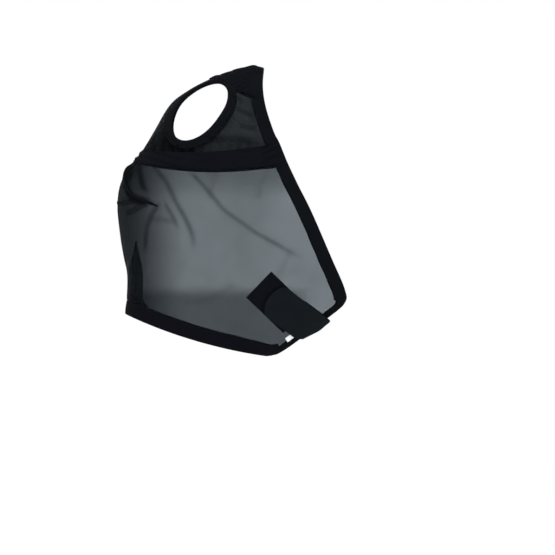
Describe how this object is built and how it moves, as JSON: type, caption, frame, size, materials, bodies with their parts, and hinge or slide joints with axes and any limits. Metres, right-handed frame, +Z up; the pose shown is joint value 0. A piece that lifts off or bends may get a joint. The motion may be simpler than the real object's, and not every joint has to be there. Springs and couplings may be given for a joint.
{
  "type": "horse fly mask",
  "caption": "Mesh hood over a horse's eyes and forehead, with ear openings, bound edges, a brow band and a hook-and-loop strap under the jaw.",
  "frame": {"origin": "under the poll band on the middle plane, at the point of the horse's poll that the mask hangs on", "axes": "+Z up, the horse faces -Y, and the horse's left side, where the strap closes, is +X"},
  "size_m": [0.2112, 0.3225, 0.4103],
  "materials": {
    "face_mesh": "open woven mesh",
    "crown_mesh": "dense gathered mesh",
    "poll_cloth": "matte ruched cloth",
    "elastic": "ribbed elastic",
    "band_tape": "matte woven tape",
    "thread": "sewing thread",
    "binding": "matte folded tape",
    "pad_fleece": "soft pile",
    "loop_tape": "loop pile",
    "strap_tape": "brushed loop tape",
    "hook_tape": "hook tape",
    "label": "smooth woven label, blank"
  },
  "bodies": {
    "mask": {"left_face_mesh": "face_mesh", "right_face_mesh": "face_mesh", "left_crown_mesh": "crown_mesh", "right_crown_mesh": "crown_mesh", "forelock_panel": "crown_mesh", "poll_band": "poll_cloth", "poll_elastic": "elastic", "brow_band": "band_tape", "brow_elastic": "elastic", "brow_stitching": "thread", "left_ear_binding": "binding", "right_ear_binding": "binding", "left_rear_binding": "binding", "right_rear_binding": "binding", "left_throat_binding": "binding", "right_throat_binding": "binding", "nose_binding": "binding", "center_seam_tape": "band_tape", "nose_pad": "pad_fleece", "left_eye_dart_seam": "face_mesh", "right_eye_dart_seam": "face_mesh", "closure_patch": "loop_tape", "patch_stitching": "thread", "strap_anchor": "strap_tape", "anchor_stitching": "thread", "size_label": "label"},
    "strap_under_jaw": {"strap_under": "strap_tape"},
    "strap_side_flap": {"strap_side": "strap_tape", "side_hook_pad": "hook_tape"},
    "strap_tip_flap": {"strap_tip": "strap_tape", "tip_hook_pad": "hook_tape"}
  },
  "joints": [
    {"name": "strap_swing", "type": "hinge", "parent": "mask", "child": "strap_under_jaw", "pos_m": [-0.04756, 0.08783, -0.3637], "axis": [0.1436, 0.8829, 0.447], "range_deg": [0, 95]},
    {"name": "strap_side_open", "type": "hinge", "parent": "strap_under_jaw", "child": "strap_side_flap", "pos_m": [0.04756, 0.08783, -0.3637], "axis": [-0.1436, 0.8829, 0.447], "range_deg": [0, 85]},
    {"name": "strap_tip_peel", "type": "hinge", "parent": "strap_side_flap", "child": "strap_tip_flap", "pos_m": [0.0773, 0.05674, -0.33995], "axis": [0.2454, 0.5625, 0.7896], "range_deg": [0, 50]}
  ]
}
